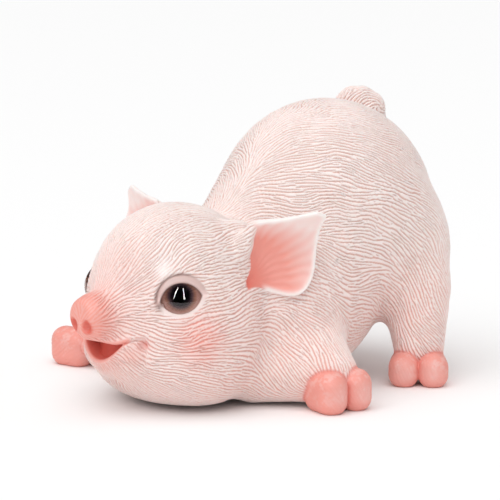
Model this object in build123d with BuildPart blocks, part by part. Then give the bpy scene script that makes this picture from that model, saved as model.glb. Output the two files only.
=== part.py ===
from build123d import *
import os
from math import cos, radians, sin, sqrt

# A piglet ornament in a play bow: chest and jowls on the floor, rump up, forelegs spread.
# Millimetres, +Z up. The piglet looks along -Y and its left side is +X.
# Sizes are measured from the mirror plane of head and torso; the last lines move the finished
# pieces so that the origin lies on the floor under the middle of the figure.

# Fits
glue_gap = 0.3           # clear space round every glued spigot, filled by the adhesive
floor_gap = 0.6          # how far chest, jowls and forearms stay above the floor

# Torso: an egg-shaped hollow casting, rump high and chest low
rump_y = 50.0            # widest station of the rump
rump_z = 70.0            # height of the rump's middle
rump_half_width = 47.0
rump_half_length = 51.0
rump_half_height = 52.0
chest_z = 40.0           # height of the widest line of the chest
chest_half_width = 41.0
chest_top = 89.5         # back over the shoulders
chest_bottom = 1.5
breast_y = -30.0         # front station, inside the head's seat
breast_half_width = 23.5
breast_half_height = 21.5

# Core of the torso casting and the stopper of its pouring hole
core_y = 20.0
core_z = 70.0
core_half_width = 20.0
core_half_height = 28.0
pour_hole_radius = 5.0
pour_lip_radius = 8.0
pour_lip_depth = 3.0
pour_seat_z = 8.5        # height of the step the stopper's flange rests on
stopper_length = 9.0

# Head
head_seat_y = -12.0      # flat back of the head, resting in the torso
head_mid_y = -42.0
head_top = 83.5
jowl_bottom = 2.5
jowl_half_width = 41.0
jowl_squareness = 0.79   # where the jowl's curve turns under; 0.707 would be an ellipse
chin_y = -79.0

# Snout
snout_front_y = -91.0
snout_z = 43.0
snout_half_width = 8.5
snout_half_height = 8.8
snout_root_y = -63.0
snout_root_z = 40.0
snout_root_half_width = 22.0
snout_root_half_height = 18.5
nostril_spread = 3.9     # from the mirror plane to a nostril's middle
nostril_z = 41.4
nostril_half_width = 1.9
nostril_half_height = 2.6
nostril_depth = 5.0

# Mouth and tongue
mouth_half_width = 14.0
mouth_corner_z = 32.6
upper_lip_z = 31.0
lower_lip_z = 23.8
mouth_floor_y = -67.0
tongue_half_width = 8.5
tongue_half_length = 9.0
tongue_thickness = 2.6

# Eyes: a clear dome over a painted disc, set in a round seat
eye_x = 28.7
eye_y = -61.7
eye_z = 50.2
eye_dir = (0.71, -0.66, 0.25)
eye_radius = 8.4
eye_dome_height = 4.4
eye_edge = 1.6           # straight rim of the dome
iris_thickness = 1.2
eye_sink = 2.3           # how far the dome's rim lies under the face

# Ears: leaf-shaped blades cupped like a piece of a tube
ear_root = (30.0, -27.5, 64.5)
ear_reach = (0.73, 0.677, 0.089)     # from the root to the outer edge
ear_face = (0.853, -0.484, -0.195)   # side of the hollow
ear_length = 35.0
ear_half_width = 15.0
ear_cup_radius = 28.0
ear_cup_sink = 1.6       # middle of the cup behind the root's plane
ear_thickness = 2.6
right_ear_root = (28.5, -27.5, 67.5)     # the right ear is set a little higher and faces more forward;
right_ear_reach = (0.931, 0.358, 0.073)  # its directions are given as if it were a left one
right_ear_face = (0.306, -0.873, 0.380)
ear_tab_half_width = 5.5
ear_tab_length = 12.0
ear_tab_depth = 8.0      # how much of the tab lies in the head
ear_tab_thickness = 3.6

# Hind legs, described for the left side: height, middle x, middle y, half sizes in x and y
haunch_x = 32.0
haunch_y = 67.0
haunch_z = 56.0
haunch_half_width = 18.0
haunch_half_length = 24.0
haunch_half_height = 31.0
hock_z = 28.0
hock_x = 40.5
hock_y = 66.5
hock_half = 13.8
hind_pastern_z = 7.0
hind_pastern_x = 45.5
hind_pastern_y = 62.5
pastern_half = 10.6
hind_hoof_x = 50.0
hind_hoof_y = 58.0
hind_hoof_turn = 42.0    # toes turn outward from straight ahead

# Forelegs: both start at the same flat seat in the chest
fore_seat_x = 20.0
fore_seat_y = -2.0
fore_seat_half = 22.0
fore_top = 51.0
elbow_half = 21.5
elbow_top = 49.5
fore_pastern_half = 9.0
fore_pastern_top = 17.5
left_elbow_x = 40.0
left_elbow_y = 1.0
right_elbow_x = -38.0
right_elbow_y = -1.5
left_hoof_x = 58.0
left_hoof_y = -2.0
left_hoof_turn = 82.0
right_hoof_x = -85.0
right_hoof_y = -20.0
right_hoof_turn = -84.0

# Cloven hooves
toe_half_width = 6.6
toe_half_length = 12.0
toe_height = 14.5
toe_spread = 6.3         # from the cleft to a toe's middle
dewclaw_radius = 3.0
dewclaw_back = 9.5       # behind the middle of the toes
dewclaw_z = 8.0

# Tail: a short tapering curl on the rump
tail_y = 79.0
tail_z = 113.0           # height of the rump's skin under the tail's root
tail_heading = 225.5     # the bend lies forward and to the right, degrees
tail_back = 7.4          # from the root's middle to its back
tail_length = 22.8
tail_half_width = 7.4


def oval(plane, half_a, half_b):
    with BuildSketch(plane) as section:
        Ellipse(half_a, half_b)
    return section.sketch


def across(y, z):
    """Plane across the body's length: sketch x is +X, sketch y is +Z."""
    return Plane(origin=(0, y, z), x_dir=(1, 0, 0), z_dir=(0, -1, 0))


def egg_section(y, bottom, top, widest_z, half_width, squareness=0.707):
    """Egg outline across the body: a closed curve through its top, sides and bottom."""
    upper = top - widest_z
    lower = widest_z - bottom
    shoulder = (half_width * cos(radians(60)), upper * sin(radians(60)))
    flank = (half_width * cos(radians(30)), upper * sin(radians(30)))
    under = (half_width * squareness, -lower * squareness)
    right = [shoulder, flank, (half_width, 0), under]
    left = [(-x, z) for x, z in reversed(right)]
    with BuildSketch(across(y, widest_z)) as section:
        with BuildLine():
            Spline((0, upper), *right, (0, -lower), *left, periodic=True)
        make_face()
    return section.sketch


def between(start, end, share):
    return start + (end - start) * share


def torso_form():
    """Smooth egg from the breast over the back to the rump, a loft through egg outlines."""
    sections = [
        egg_section(breast_y, chest_z - breast_half_height, chest_z + breast_half_height, chest_z,
                    breast_half_width),
        egg_section(breast_y / 2, 0.11 * chest_z, 0.83 * chest_top, 0.9 * chest_z, 0.87 * chest_half_width),
        egg_section(0, chest_bottom, chest_top, 0.97 * chest_z, 0.99 * chest_half_width),
    ]
    rump_top = rump_z + rump_half_height
    for share, drop, low in ((0.3, 0.45, 1.7), (0.48, 0.24, 3.3), (0.68, 0.095, 5.7)):
        y = rump_y * share
        top = between(rump_top, chest_top, drop)
        widest = between(chest_z, rump_z, share ** 2)
        sections.append(egg_section(y, low * chest_bottom, top, widest,
                                    between(chest_half_width, rump_half_width, share)))
    for turn in (90, 62, 40, 22, 9):
        k = sin(radians(turn))
        y = rump_y + rump_half_length * cos(radians(turn))
        rise = rump_half_height * k
        sections.append(egg_section(y, rump_z - rise, rump_z + rise, rump_z, rump_half_width * k))
    sections.append(Vertex(0, rump_y + rump_half_length, rump_z))
    loft(sections)


# Stations of the head: shares of the way from its middle to the chin (or back to its seat),
# and of the middle's top, jowl height and half width
head_stations = (
    (-1.0, 0.856, 0.23, 0.62),
    (-0.73, 0.94, 0.09, 0.85),
    (-0.4, 0.988, 0.018, 0.975),
    (0.0, 1.0, 0.0, 1.0),
    (0.22, 0.982, 0.018, 0.963),
    (0.41, 0.946, 0.054, 0.89),
    (0.54, 0.904, 0.09, 0.793),
    (0.65, 0.856, 0.108, 0.683),
    (0.757, 0.79, 0.126, 0.55),
    (0.838, 0.73, 0.144, 0.45),
    (0.93, 0.67, 0.175, 0.355),
    (1.0, 0.575, 0.21, 0.245),
)


def head_form(grow, mode=Mode.ADD):
    """Cranium, cheeks, jowls and chin as one loft; its flat back is the glued seat."""
    sections = []
    for way, top_share, rise_share, width_share in head_stations:
        y = between(head_mid_y, chin_y if way > 0 else head_seat_y, abs(way))
        top = head_top * top_share
        bottom = jowl_bottom + head_top * rise_share
        widest = between(bottom, top, 0.28)
        sections.append(egg_section(y, bottom - grow, top + grow, widest,
                                    jowl_half_width * width_share + grow, jowl_squareness))
    loft(sections, mode=mode)


def hind_form(side, grow, mode=Mode.ADD):
    """Haunch, hock and pastern as a loft through level ovals."""
    stations = []
    for turn in (50, 27, 0):
        k = cos(radians(turn))
        z = haunch_z + haunch_half_height * sin(radians(turn))
        stations.append((z, haunch_x, haunch_y, haunch_half_width * k, haunch_half_length * k))
    stations.append((
        (haunch_z + hock_z) / 2, (haunch_x + hock_x) / 2, haunch_y,
        (haunch_half_width + hock_half) / 2, (haunch_half_length + hock_half) / 2,
    ))
    stations.append((hock_z, hock_x, hock_y, hock_half, hock_half))
    for share in (0.55, 1):
        half = between(hock_half, pastern_half, sqrt(share))
        stations.append((
            between(hock_z, hind_pastern_z, share), between(hock_x, hind_pastern_x, share),
            between(hock_y, hind_pastern_y, share), half, half,
        ))
    loft([oval(Plane((side * x, y, z)), a + grow, b + grow) for z, x, y, a, b in stations], mode=mode)


def fore_form(elbow_x, elbow_y, hoof_x, hoof_y, grow, mode=Mode.ADD):
    """Shoulder, elbow and forearm: a loft through upright ovals that ends over the hoof."""
    side = 1 if hoof_x > 0 else -1
    stations = [(side * fore_seat_x, fore_seat_y, fore_top, fore_seat_half)]
    for share in (0, 0.25, 0.5, 0.75, 1):
        stations.append((
            between(elbow_x, hoof_x, share), between(elbow_y, hoof_y, share),
            between(elbow_top, fore_pastern_top, share), between(elbow_half, fore_pastern_half, share),
        ))
    sections = []
    for x, y, top, half in stations:
        plane = Plane((x, y, (top + floor_gap) / 2), x_dir=(0, 1, 0), z_dir=(1, 0, 0))
        sections.append(oval(plane, half + grow, (top - floor_gap) / 2 + grow))
    loft(sections, mode=mode)


def left_fore_form(grow, mode=Mode.ADD):
    fore_form(left_elbow_x, left_elbow_y, left_hoof_x, left_hoof_y, grow, mode)


def right_fore_form(grow, mode=Mode.ADD):
    fore_form(right_elbow_x, right_elbow_y, right_hoof_x, right_hoof_y, grow, mode)


def toe(x, y, turn, side):
    """One toe: a dome on an oval sole, a loft through level ovals up to its top."""
    sole = Plane((x, y, 0)).rotated((0, 0, turn))
    middle = sole.from_local_coords((side * toe_spread, 0, 0))
    sections = []
    for rise in (0, 0.45, 0.75, 0.93):
        k = sqrt(1 - rise ** 2)
        plane = Plane(middle + Vector(0, 0, rise * toe_height), x_dir=sole.x_dir)
        sections.append(oval(plane, toe_half_width * k, toe_half_length * k))
    sections.append(Vertex(middle.X, middle.Y, toe_height))
    loft(sections)


def hoof(x, y, turn):
    """Two toes on a flat sole and two dewclaws behind them, joined to the part being built."""
    toe(x, y, turn, -1)
    toe(x, y, turn, 1)
    heel = Plane((x, y, dewclaw_z)).rotated((0, 0, turn))
    with Locations(heel):
        with Locations((-toe_spread, dewclaw_back), (toe_spread, dewclaw_back)):
            Sphere(dewclaw_radius)


def eye_plane(side, shift):
    """Plane across an eye's axis, moved along it from the face."""
    nx, ny, nz = eye_dir
    return Plane((side * eye_x, eye_y, eye_z), z_dir=(side * nx, ny, nz)).offset(shift)


def eye_disc(side, low, height, radius, mode=Mode.ADD):
    with BuildSketch(eye_plane(side, low)) as disc:
        Circle(radius)
    extrude(disc.sketch, amount=height, mode=mode)


def eye_dome(side):
    """Dome of the clear eye: half its outline turned about the eye's axis."""
    rim = eye_plane(side, -eye_sink - eye_edge)
    half = Plane(rim.origin, x_dir=rim.x_dir, z_dir=-rim.y_dir)
    with BuildSketch(half) as outline:
        with BuildLine():
            Polyline((0, eye_edge + eye_dome_height), (0, 0), (eye_radius, 0), (eye_radius, eye_edge))
            TangentArc(
                (0, eye_edge + eye_dome_height), (eye_radius, eye_edge),
                tangent=(1, 0), tangent_from_first=True,
            )
        make_face()
    revolve(outline.sketch, axis=Axis(rim.origin, rim.z_dir))


def ear_plane(side):
    """Plane of an ear: x from root to tip, z out of its hollow."""
    left = (ear_root, ear_reach, ear_face)
    right = (right_ear_root, right_ear_reach, right_ear_face)
    root, reach, face = [(side * x, y, z) for x, y, z in (left if side > 0 else right)]
    return Plane(root, x_dir=reach, z_dir=face)


def ear_tab(side, grow, mode=Mode.ADD):
    """Flat tongue that holds the ear in a slot of the head."""
    frame = ear_plane(side)
    with BuildSketch(frame.offset(-ear_cup_sink - ear_tab_thickness / 2 - grow)) as tab:
        with Locations((ear_tab_length / 2 - ear_tab_depth, 0)):
            Rectangle(ear_tab_length, 2 * (ear_tab_half_width + grow))
    extrude(tab.sketch, amount=ear_tab_thickness + 2 * grow, mode=mode)


def ear_blade(side):
    """Leaf outline with one pointed corner, kept where it meets the wall of a tube."""
    frame = ear_plane(side)
    length = ear_length
    half = side * ear_half_width
    tip = (length, 0.93 * half)
    notch = (-0.06 * length, -0.66 * half)
    root = (-0.06 * length, 0.7 * half)
    with BuildSketch(frame.offset(-ear_cup_radius / 2)) as leaf:
        with BuildLine():
            Spline(
                tip, (0.89 * length, 0.27 * half), (0.85 * length, -0.33 * half), (0.76 * length, -0.93 * half),
                (0.58 * length, -1.25 * half), (0.38 * length, -1.2 * half), (0.18 * length, -0.93 * half), notch,
            )
            Line(notch, root)
            Spline(root, (0.25 * length, 0.9 * half), (0.6 * length, 0.9 * half), tip)
        make_face()
    extrude(leaf.sketch, amount=ear_cup_radius)
    axis = frame.from_local_coords((-length, 0, ear_cup_radius - ear_cup_sink))
    with BuildSketch(Plane(axis, x_dir=frame.y_dir, z_dir=frame.x_dir)) as tube:
        Circle(ear_cup_radius + ear_thickness / 2)
        Circle(ear_cup_radius - ear_thickness / 2, mode=Mode.SUBTRACT)
    extrude(tube.sketch, amount=3 * length, mode=Mode.INTERSECT)


# Stations of the tail: shares of its length and half width, then how far its bottom and its top
# stand from the rump's skin, as shares of the half width
tail_stations = (
    (0.025, 0.36, -0.3, 0.8),
    (0.13, 0.8, -0.75, 1.23),
    (0.32, 1.0, -0.55, 1.5),
    (0.5, 0.95, -0.2, 1.72),
    (0.675, 0.8, 0.0, 1.69),
    (0.83, 0.57, 0.2, 1.4),
    (0.94, 0.38, 0.6, 1.23),
)


def tail_form(grow, mode=Mode.ADD):
    """Short thick bend that lies on the rump like a bun, a loft through upright ovals."""
    way = (cos(radians(tail_heading)), sin(radians(tail_heading)), 0)
    side = (-way[1], way[0], 0)

    def along(share, rise):
        s = tail_length * share - tail_back
        return (way[0] * s, tail_y + way[1] * s, tail_z + rise * tail_half_width)

    sections = [Vertex(*[c - grow * w for c, w in zip(along(0, 0.1), way)])]
    for share, width, low, high in tail_stations:
        plane = Plane(along(share, (low + high) / 2), x_dir=side, z_dir=way)
        half_height = (high - low) / 2 * tail_half_width
        sections.append(oval(plane, width * tail_half_width + grow, half_height + grow))
    sections.append(Vertex(*[c + grow * w for c, w in zip(along(1, 0.83), way)]))
    loft(sections, mode=mode)


def pour_column(low, high, radius, mode=Mode.ADD):
    with BuildSketch(Plane((0, core_y, low))) as disc:
        Circle(radius)
    extrude(disc.sketch, amount=high - low, mode=mode)


with BuildPart() as torso:
    torso_form()
    head_form(glue_gap, Mode.SUBTRACT)
    for side in (-1, 1):
        hind_form(side, glue_gap, Mode.SUBTRACT)
    left_fore_form(glue_gap, Mode.SUBTRACT)
    right_fore_form(glue_gap, Mode.SUBTRACT)
    with BuildSketch(Plane((0, core_y, core_z), x_dir=(1, 0, 0), z_dir=(0, -1, 0))) as core:
        Ellipse(core_half_width, core_half_height)
        split(bisect_by=Plane.YZ)
    revolve(core.sketch, axis=Axis((0, core_y, core_z), (0, 0, 1)), mode=Mode.SUBTRACT)
    pour_column(0, core_z, pour_hole_radius, Mode.SUBTRACT)
    pour_column(0, pour_seat_z, pour_lip_radius, Mode.SUBTRACT)
    tail_form(glue_gap, Mode.SUBTRACT)

with BuildPart() as stopper:
    pour_column(pour_seat_z - pour_lip_depth, pour_seat_z, pour_lip_radius - glue_gap)
    pour_column(pour_seat_z, pour_seat_z + stopper_length, pour_hole_radius - glue_gap)
    chamfer(stopper.edges().group_by(Axis.Z)[-1], length=0.8)

with BuildPart() as head:
    head_form(0)
    muzzle = []
    for share, flare in ((0, 1), (0.3, 0.62), (0.52, 0.28), (0.7, 0.1), (0.86, 0), (1, 0)):
        plane = across(between(snout_root_y, snout_front_y, share), between(snout_z, snout_root_z, flare))
        muzzle.append(oval(
            plane,
            between(snout_half_width, snout_root_half_width, flare),
            between(snout_half_height, snout_root_half_height, flare),
        ))
    loft(muzzle)
    fillet(head.faces().sort_by(Axis.Y)[0].edges(), radius=1.5)
    with BuildSketch(across(snout_front_y, nostril_z)) as nostrils:
        with Locations((-nostril_spread, 0), (nostril_spread, 0)):
            Ellipse(nostril_half_width, nostril_half_height)
    extrude(nostrils.sketch, amount=-nostril_depth, mode=Mode.SUBTRACT)
    with BuildSketch(across(snout_front_y, 0)) as smile:
        with BuildLine():
            left_corner = (mouth_half_width, mouth_corner_z)
            right_corner = (-mouth_half_width, mouth_corner_z)
            ThreePointArc(left_corner, (0, upper_lip_z), right_corner)
            ThreePointArc(right_corner, (0, lower_lip_z), left_corner)
        make_face()
    extrude(smile.sketch, amount=snout_front_y - mouth_floor_y, mode=Mode.SUBTRACT)
    with BuildSketch(Plane((0, mouth_floor_y - 2, lower_lip_z - 1))) as tongue:
        Ellipse(tongue_half_width, tongue_half_length)
    extrude(tongue.sketch, amount=tongue_thickness)
    for side in (-1, 1):
        eye_disc(side, -eye_sink - eye_edge - iris_thickness, 25, eye_radius + glue_gap, Mode.SUBTRACT)
        ear_tab(side, glue_gap, Mode.SUBTRACT)

with BuildPart() as left_eye_iris:
    eye_disc(1, -eye_sink - eye_edge - iris_thickness, iris_thickness, eye_radius)

with BuildPart() as right_eye_iris:
    eye_disc(-1, -eye_sink - eye_edge - iris_thickness, iris_thickness, eye_radius)

with BuildPart() as left_eye_dome:
    eye_dome(1)

with BuildPart() as right_eye_dome:
    eye_dome(-1)

with BuildPart() as left_ear:
    ear_blade(1)
    head_form(glue_gap, Mode.SUBTRACT)
    ear_tab(1, 0)

with BuildPart() as right_ear:
    ear_blade(-1)
    head_form(glue_gap, Mode.SUBTRACT)
    ear_tab(-1, 0)

with BuildPart() as left_hind_leg:
    hind_form(1, 0)
    hoof(hind_hoof_x, hind_hoof_y, hind_hoof_turn)

with BuildPart() as right_hind_leg:
    hind_form(-1, 0)
    hoof(-hind_hoof_x, hind_hoof_y, -hind_hoof_turn)

with BuildPart() as left_foreleg:
    left_fore_form(0)
    hoof(left_hoof_x, left_hoof_y, left_hoof_turn)
    head_form(glue_gap, Mode.SUBTRACT)

with BuildPart() as right_foreleg:
    right_fore_form(0)
    hoof(right_hoof_x, right_hoof_y, right_hoof_turn)
    head_form(glue_gap, Mode.SUBTRACT)

with BuildPart() as tail:
    tail_form(0)

pieces = {
    "torso_casting": torso,
    "head_casting": head,
    "left_ear": left_ear,
    "right_ear": right_ear,
    "left_foreleg": left_foreleg,
    "right_foreleg": right_foreleg,
    "left_hind_leg": left_hind_leg,
    "right_hind_leg": right_hind_leg,
    "tail": tail,
    "left_eye_dome": left_eye_dome,
    "right_eye_dome": right_eye_dome,
    "left_eye_iris": left_eye_iris,
    "right_eye_iris": right_eye_iris,
    "pour_hole_stopper": stopper,
}

# The frame's origin goes to the floor, under the middle of the whole figure.
box = Compound([piece.part for piece in pieces.values()]).bounding_box()
home = Location((-box.center().X, -box.center().Y, -box.min.Z))
print("moved by", home.position)

os.makedirs("parts", exist_ok=True)
for label, piece in pieces.items():
    piece.part.label = label
    print(label, round(piece.part.volume), piece.part.is_valid, len(piece.part.solids()))
    export_step(piece.part.moved(home), "parts/" + label + ".step")
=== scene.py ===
# %% [markdown]
# # Piglet figurine in cast, painted resin
# The real thing is a set of resin castings, glued, filled at the seams and painted as one skin, with two
# clear eyes set into the head. Blender could build such a body from subdivided boxes, from metaballs or by
# sculpting. Here it is written as a distance field: a formula that says how far any point is from the
# surface. Soft folds and cut-in details are then one line each, and the result is the same every time.

import math

import bpy
import numpy as np
import openvdb
from mathutils import Matrix, Vector


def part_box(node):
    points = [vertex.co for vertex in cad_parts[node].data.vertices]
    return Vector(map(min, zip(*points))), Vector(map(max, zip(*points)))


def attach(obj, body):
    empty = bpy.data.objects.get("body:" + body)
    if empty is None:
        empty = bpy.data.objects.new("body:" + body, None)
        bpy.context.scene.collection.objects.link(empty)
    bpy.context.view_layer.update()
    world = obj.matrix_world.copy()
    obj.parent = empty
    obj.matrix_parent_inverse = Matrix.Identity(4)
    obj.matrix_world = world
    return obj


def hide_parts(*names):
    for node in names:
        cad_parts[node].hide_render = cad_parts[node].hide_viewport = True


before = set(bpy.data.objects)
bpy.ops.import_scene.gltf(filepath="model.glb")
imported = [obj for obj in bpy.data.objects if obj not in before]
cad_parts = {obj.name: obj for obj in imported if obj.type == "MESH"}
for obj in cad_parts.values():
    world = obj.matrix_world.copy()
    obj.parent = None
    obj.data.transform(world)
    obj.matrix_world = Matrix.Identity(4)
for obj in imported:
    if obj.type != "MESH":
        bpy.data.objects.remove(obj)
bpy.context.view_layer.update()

# %% [markdown]
# The forms below are written in millimetres in the piglet's own frame: its mirror plane is x = 0, it faces
# -Y, its left is +X and the floor is z = 0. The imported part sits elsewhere, because its origin is under the
# middle of its box. The stopper of the pouring hole is on the mirror plane, 20 mm behind the origin, so its
# CAD box tells where the piglet's frame lies.

# %% From the piglet's millimetres to the part's metres
STOPPER_Y = 20.0
stopper_low, stopper_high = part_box("pour_hole_stopper")
stopper_middle = (stopper_low + stopper_high) / 2
ORIGIN = Vector((stopper_middle.x, stopper_middle.y - STOPPER_Y / 1000, 0))
print("the piglet's frame starts at", [round(c, 5) for c in ORIGIN])

# %% [markdown]
# A distance field needs only a few building forms. An egg and a tapering limb are enough for an animal. Two
# forms join with a fillet, as clay does when a thumb is run along the crease, or one is carved from another.

# %% Egg, limb and the ways to combine them
def egg(p, middle, half, axes=None):
    """Distance to an ellipsoid."""
    q = p - np.float32(middle)
    if axes is not None:
        q = q @ axes
    half = np.float32(half)
    near = np.linalg.norm(q / half, axis=-1)
    steep = np.linalg.norm(q / half ** 2, axis=-1)
    return near * (near - 1) / np.maximum(steep, 1e-6)


def block(p, middle, half, edge, axes):
    """Distance to a box with rounded edges."""
    beyond = np.abs((p - np.float32(middle)) @ axes) - (np.float32(half) - edge)
    return np.linalg.norm(np.maximum(beyond, 0), axis=-1) + np.minimum(beyond.max(-1), 0) - edge


def limb(p, start, end, start_radius, end_radius):
    """Distance to a cone with a ball on each end."""
    start, end = np.float32(start), np.float32(end)
    length = np.linalg.norm(end - start)
    axis = (end - start) / length
    along = (p - start) @ axis
    away = np.linalg.norm(p - start - along[..., None] * axis, axis=-1)
    slope = (start_radius - end_radius) / length
    steep = np.sqrt(1 - slope ** 2)
    side = along * steep - away * slope
    d = away * steep + along * slope - start_radius
    d = np.where(side < 0, np.hypot(away, along) - start_radius, d)
    return np.where(side > steep * length, np.hypot(away, along - length) - end_radius, d)


def join(a, b, fillet):
    """Both forms as one, with a fillet in the crease between them."""
    h = np.clip(0.5 + 0.5 * (b - a) / fillet, 0, 1)
    return b + (a - b) * h - fillet * h * (1 - h)


def carve(a, b, edge):
    """The first form with the second cut out of it, its edge rounded."""
    return -join(-a, b, edge)


def ramp(value, low, high):
    """0 below low, 1 above high, an S-curve between."""
    t = np.clip((value - low) / (high - low), 0, 1)
    return t * t * (3 - 2 * t)


def bell(value, width):
    return np.exp(-((value / width) ** 2))


def yawed(degrees):
    """Axes turned about the vertical, as columns."""
    c, s = math.cos(math.radians(degrees)), math.sin(math.radians(degrees))
    return np.float32([[c, -s, 0], [s, c, 0], [0, 0, 1]])


def aimed(out, across):
    """Three axes as columns: near across, the one square to both, and out."""
    out = np.float32(out) / np.linalg.norm(out)
    across = np.float32(across) - out * (np.float32(across) @ out)
    across = across / np.linalg.norm(across)
    return np.stack([across, np.cross(out, across), out], 1)


def mirrored(p):
    """Every point brought to the left side, where paired features are drawn once."""
    return np.stack([np.abs(p[..., 0]), p[..., 1], p[..., 2]], -1)


OTHER_SIDE = np.float32([-1, 1, 1])  # times a point or direction: its mirror image


# %% [markdown]
# The body is in a play bow: a big egg for the raised rump and a smaller one for the chest on the floor. The
# wide fillet between them is the sloping back. Each leg is a haunch or shoulder, a shank, two toes with a
# cleft between them and two small dewclaws behind. The pouring hole under the belly leaves room for the
# stopper.

# %% Torso, legs and hooves
POUR_HOLE_RADIUS = 8.0
POUR_HOLE_TOP = 8.6


def torso(p):
    rump = egg(p, (0, 50, 70), (47, 51, 52))
    chest = egg(p, (0, 3, 38), (40, 41, 37))
    belly = egg(mirrored(p), (16, 16, 35), (25, 33, 30))
    body = join(join(rump, chest, 30), belly, 16)
    from_axis = np.hypot(p[..., 0], p[..., 1] - STOPPER_Y)
    pour_hole = np.maximum(from_axis - POUR_HOLE_RADIUS, p[..., 2] - POUR_HOLE_TOP)
    return carve(body, pour_hole, 0.4)


# where each hoof stands: x, y, height of its middle, and how far it is turned out in degrees
HOOVES = {
    "left_hind_leg": (50, 58, 6.6, 42),
    "right_hind_leg": (-50, 58, 6.6, -42),
    "left_foreleg": (58, -2, 8.0, 82),
    "right_foreleg": (-85, -20, 8.0, -84),
}


TOE_SPREAD = 6.1  # from the cleft to the middle of a toe
TOE_HALF = (6.6, 10.4)
TOE_EDGE = 6.4
TOE_SPLAY = 4  # degrees
UNDER_FLOOR = 1.2  # a toe reaches this far under the floor, which cuts its sole flat


def toes(p, x, y, z, yaw):
    axes = yawed(yaw)
    half = (*TOE_HALF, UNDER_FLOOR + z)
    pair = []
    for side in (1, -1):
        middle = np.float32([x, y, z]) + axes @ np.float32([side * TOE_SPREAD, -1, 0])
        pair.append(block(p, middle, half, TOE_EDGE, axes @ yawed(side * TOE_SPLAY)))
    return join(*pair, 0.6)


def dewclaws(p, x, y, z, yaw):
    axes = yawed(yaw)
    pair = []
    for side in (1, -1):
        middle = np.float32([x, y, z + 2]) + axes @ np.float32([side * 8, 10.5, 0])
        pair.append(egg(p, middle, (2.6, 3.2, 3.6), axes))
    return np.minimum(*pair)


def hind_leg(p):
    haunch = egg(p, (32, 67, 56), (18, 24, 31))
    return join(haunch, limb(p, (39, 68, 38), (47, 61.5, 15.5), 15, 10.9), 8)


def foreleg(p, elbow_x, wrist, pastern):
    upper = limb(p, (elbow_x, 2, 27), wrist, 18.5, 10.2)
    return join(upper, limb(p, (0.9 * elbow_x, -19, 14.5), pastern, 13.8, 9.8), 8)


def legs(p):
    made = {
        "left_hind_leg": hind_leg(p),
        "right_hind_leg": hind_leg(p * OTHER_SIDE),
        "left_foreleg": foreleg(p, 30, (54, -0.5, 13.5), (51, -2, 12.5)),
        "right_foreleg": foreleg(p, -30, (-70, -15, 13), (-68, -16, 12.5)),
    }
    horn = {name: toes(p, *place) for name, place in HOOVES.items()}
    for name, place in HOOVES.items():
        made[name] = join(made[name], horn[name], 1.2)
        claws = dewclaws(p, *place)
        made[name] = join(made[name], claws, 1.5)
        horn[name] = np.minimum(horn[name], claws)
    return made, horn


# %% [markdown]
# The tail is one short, thick bend that lies on the rump like a bun: it rises on the mirror plane and its
# tip comes down forward and to the right.

# %% Tail
TAIL_ROOT = np.float32([0, 79, 0])
TAIL_WAY = np.float32([-0.7, -0.714, 0])
# distance along the bend, height of its middle, radius
TAIL_STATIONS = [
    (0, 111, 7.4), (0.6, 116.2, 7.3), (4, 118.8, 6.9), (8, 119.7, 5.8), (11.5, 119.2, 3.9),
]


def tail(p):
    knots = [(TAIL_ROOT + s * TAIL_WAY + np.float32([0, 0, z]), r) for s, z, r in TAIL_STATIONS]
    d = None
    for (start, start_radius), (end, end_radius) in zip(knots, knots[1:]):
        piece = limb(p, start, end, start_radius, end_radius)
        d = piece if d is None else join(d, piece, 0.8)
    return d


# %% [markdown]
# The head is a round cranium with heavy jowls, a chin and a tapering muzzle that ends in the flat disc of
# the snout. It is drawn plain first: the face is worked into it afterwards, as a modeller would.

# %% Head without a face
SNOUT_Z = 42.3
SNOUT_FRONT = -90.8


def head_form(p):
    m = mirrored(p)
    d = egg(p, (0, -39, 50), (35, 35, 34))
    d = join(d, egg(m, (19, -40, 26), (22, 27, 24)), 18)
    d = join(d, egg(p, (0, -59, 24.5), (20, 22, 13)), 12)
    d = join(d, egg(p, (0, -50, 15.5), (24, 16.5, 13.5)), 8)
    d = join(d, limb(p, (0, -60, 41), (0, -80, SNOUT_Z), 17.5, 7.7), 12)
    disc = egg(p, (0, -84.5, SNOUT_Z), (8.6, 10.5, 8.5))
    return join(d, carve(disc, p[..., 1] - SNOUT_FRONT, 2.0), 5)


# %% [markdown]
# Each eye has a frame of its own: x toward the outer corner, y up, z out of the face. In that plane the
# opening between the lids is an almond, where two circles overlap, and the fold over the upper lid is part
# of a third circle. Lids and folds are low relief, so they are heights added to the head's distance.

# %% Eyelids
EYE = np.float32([28.7, -61.7, 50.2])
EYE_AXES = aimed((0.71, -0.66, 0.25), (0.66, 0.71, 0.17))


def eye_view(p):
    """Eye-frame coordinates, and distances in its plane to the opening and to the fold."""
    local = (mirrored(p) - EYE) @ EYE_AXES
    x, y = local[..., 0], local[..., 1]
    upper = np.hypot(x, y + 2.66) - 8.86
    lower = np.hypot(x, y - 2.95) - 8.95
    fold = np.hypot(x - 0.3, y + 0.6) - 10.4
    return local, np.maximum(upper, lower), fold


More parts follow.
